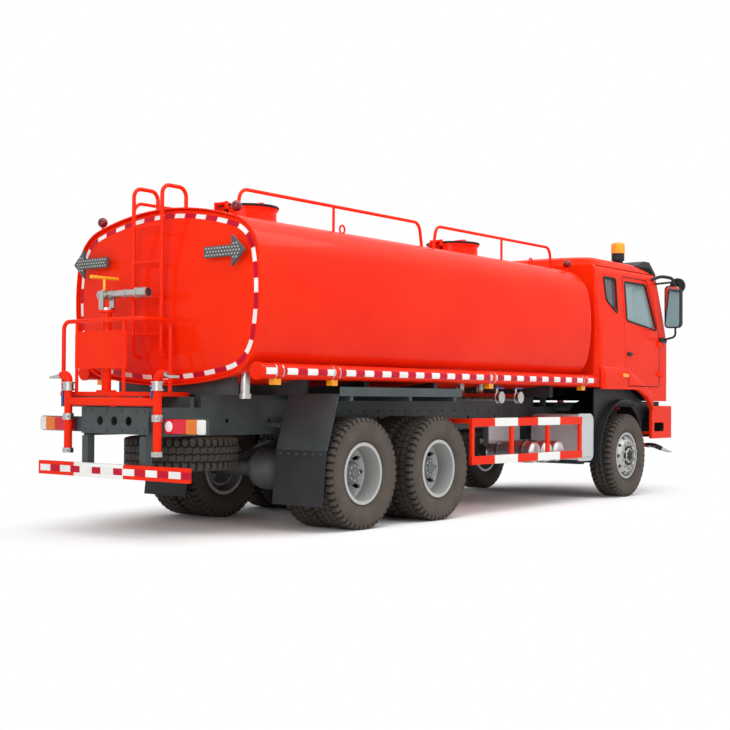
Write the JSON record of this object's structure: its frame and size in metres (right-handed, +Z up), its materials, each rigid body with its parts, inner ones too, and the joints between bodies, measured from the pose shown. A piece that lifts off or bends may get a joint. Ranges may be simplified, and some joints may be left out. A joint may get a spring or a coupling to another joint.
{
  "type": "water tanker truck",
  "caption": "Orange-red three-axle cab-over water tanker truck with a rounded tank, rear work platform with a water cannon, spray pipes, arrow boards, tilting cab and opening doors",
  "frame": {"origin": "centre of the bounding box footprint, on the ground", "axes": "+X forward to the cab, +Y left, +Z up"},
  "size_m": [9.45, 3.0096, 3.41],
  "materials": {
    "body_red": "gloss",
    "frame_grey": "satin",
    "black_plastic": "matte",
    "tyre_rubber": "matte",
    "flap_rubber": "matte",
    "rim_silver": "satin",
    "cast_grey": "satin",
    "steel_silver": "satin",
    "air_tank_aluminium": "satin",
    "window_glass": "gloss",
    "lamp_amber": "gloss",
    "lamp_red": "gloss",
    "lamp_clear": "gloss",
    "seat_cloth": "matte",
    "dash_plastic": "matte",
    "engine_grey": "satin"
  },
  "bodies": {
    "chassis": {"frame": "frame_grey", "driveline": "engine_grey", "front_axle": "cast_grey", "rear_axles": "cast_grey", "tank": "body_red", "tank_rim": "body_red", "top_rails": "body_red", "rear_ladder": "body_red", "tank_subframe": "frame_grey", "pipework": "body_red", "fittings": "steel_silver", "rear_platform": "body_red", "hose_tubes": "body_red", "side_lamps": "lamp_amber", "underrun_bar": "body_red", "rear_lamps": "lamp_red", "spare_tyre": "tyre_rubber", "spare_rim": "rim_silver", "mudguards": "frame_grey", "mud_flaps": "flap_rubber", "side_guards": "body_red", "air_tanks": "air_tank_aluminium", "silencer": "steel_silver", "fuel_tank": "air_tank_aluminium", "battery_box": "black_plastic", "front_mudguards": "black_plastic", "front_bumper": "body_red", "headlamps": "lamp_clear", "arrow_boards": "black_plastic"},
    "cab": {"cab_body": "body_red", "cab_roof": "body_red", "cab_sides": "body_red", "cab_glass": "window_glass", "dashboard": "dash_plastic", "seats": "seat_cloth", "cab_trim": "black_plastic", "beacon": "lamp_amber"},
    "flap": {"front_flap": "body_red"},
    "left_door": {"door_left": "body_red", "door_glass_left": "window_glass"},
    "right_door": {"door_right": "body_red", "door_glass_right": "window_glass"},
    "rear_lid": {"manhole_lid_rear": "body_red"},
    "front_lid": {"manhole_lid_front": "body_red"},
    "swivel": {"monitor_swivel": "steel_silver"},
    "barrel": {"monitor_barrel": "steel_silver"},
    "left_knuckle": {"knuckle_left": "cast_grey"},
    "right_knuckle": {"knuckle_right": "cast_grey"},
    "front_left_wheel": {"tyre_front_left": "tyre_rubber", "rim_front_left": "rim_silver"},
    "front_right_wheel": {"tyre_front_right": "tyre_rubber", "rim_front_right": "rim_silver"},
    "mid_left_wheel": {"tyre_mid_left": "tyre_rubber", "rim_mid_left": "rim_silver"},
    "mid_right_wheel": {"tyre_mid_right": "tyre_rubber", "rim_mid_right": "rim_silver"},
    "rear_left_wheel": {"tyre_rear_left": "tyre_rubber", "rim_rear_left": "rim_silver"},
    "rear_right_wheel": {"tyre_rear_right": "tyre_rubber", "rim_rear_right": "rim_silver"}
  },
  "joints": [
    {"name": "cab_tilt", "type": "hinge", "parent": "chassis", "child": "cab", "pos_m": [4.5, 0, 1.17], "axis": [0, 1, 0], "range_deg": [0, 50]},
    {"name": "flap_lift", "type": "hinge", "parent": "cab", "child": "flap", "pos_m": [4.614, 0, 1.996], "axis": [0, -1, 0], "range_deg": [0, 70]},
    {"name": "left_door_swing", "type": "hinge", "parent": "cab", "child": "left_door", "pos_m": [4.226, 1.218, 1.8], "axis": [0, 0, -1], "range_deg": [0, 65]},
    {"name": "right_door_swing", "type": "hinge", "parent": "cab", "child": "right_door", "pos_m": [4.226, -1.218, 1.8], "axis": [0, 0, 1], "range_deg": [0, 65]},
    {"name": "rear_lid_lift", "type": "hinge", "parent": "chassis", "child": "rear_lid", "pos_m": [-3.252, 0, 3.173], "axis": [0, -1, 0], "range_deg": [0, 110]},
    {"name": "front_lid_lift", "type": "hinge", "parent": "chassis", "child": "front_lid", "pos_m": [0.533, 0, 3.173], "axis": [0, -1, 0], "range_deg": [0, 110]},
    {"name": "monitor_turn", "type": "hinge", "parent": "chassis", "child": "swivel", "pos_m": [-4.4, 0.37, 2.07], "axis": [0, 0, -1], "range_deg": [-10, 190]},
    {"name": "monitor_pitch", "type": "hinge", "parent": "swivel", "child": "barrel", "pos_m": [-4.4, 0.37, 2.215], "axis": [-1, 0, 0], "range_deg": [-15, 60]},
    {"name": "left_steer", "type": "hinge", "parent": "chassis", "child": "left_knuckle", "pos_m": [3.23, 0.88, 0.54], "axis": [0, 0, 1], "range_deg": [-35, 35]},
    {"name": "right_steer", "type": "hinge", "parent": "chassis", "child": "right_knuckle", "pos_m": [3.23, -0.88, 0.54], "axis": [0, 0, 1], "range_deg": [-35, 35]},
    {"name": "front_left_spin", "type": "hinge", "parent": "left_knuckle", "child": "front_left_wheel", "pos_m": [3.23, 1.065, 0.54], "axis": [0, 1, 0], "continuous": true},
    {"name": "front_right_spin", "type": "hinge", "parent": "right_knuckle", "child": "front_right_wheel", "pos_m": [3.23, -1.065, 0.54], "axis": [0, 1, 0], "continuous": true},
    {"name": "mid_left_spin", "type": "hinge", "parent": "chassis", "child": "mid_left_wheel", "pos_m": [-1.22, 0.915, 0.54], "axis": [0, 1, 0], "continuous": true},
    {"name": "mid_right_spin", "type": "hinge", "parent": "chassis", "child": "mid_right_wheel", "pos_m": [-1.22, -0.915, 0.54], "axis": [0, 1, 0], "continuous": true},
    {"name": "rear_left_spin", "type": "hinge", "parent": "chassis", "child": "rear_left_wheel", "pos_m": [-2.52, 0.915, 0.54], "axis": [0, 1, 0], "continuous": true},
    {"name": "rear_right_spin", "type": "hinge", "parent": "chassis", "child": "rear_right_wheel", "pos_m": [-2.52, -0.915, 0.54], "axis": [0, 1, 0], "continuous": true}
  ],
  "couplings": [
    {"joint": "right_steer", "follows": "left_steer", "ratio": 1}
  ]
}
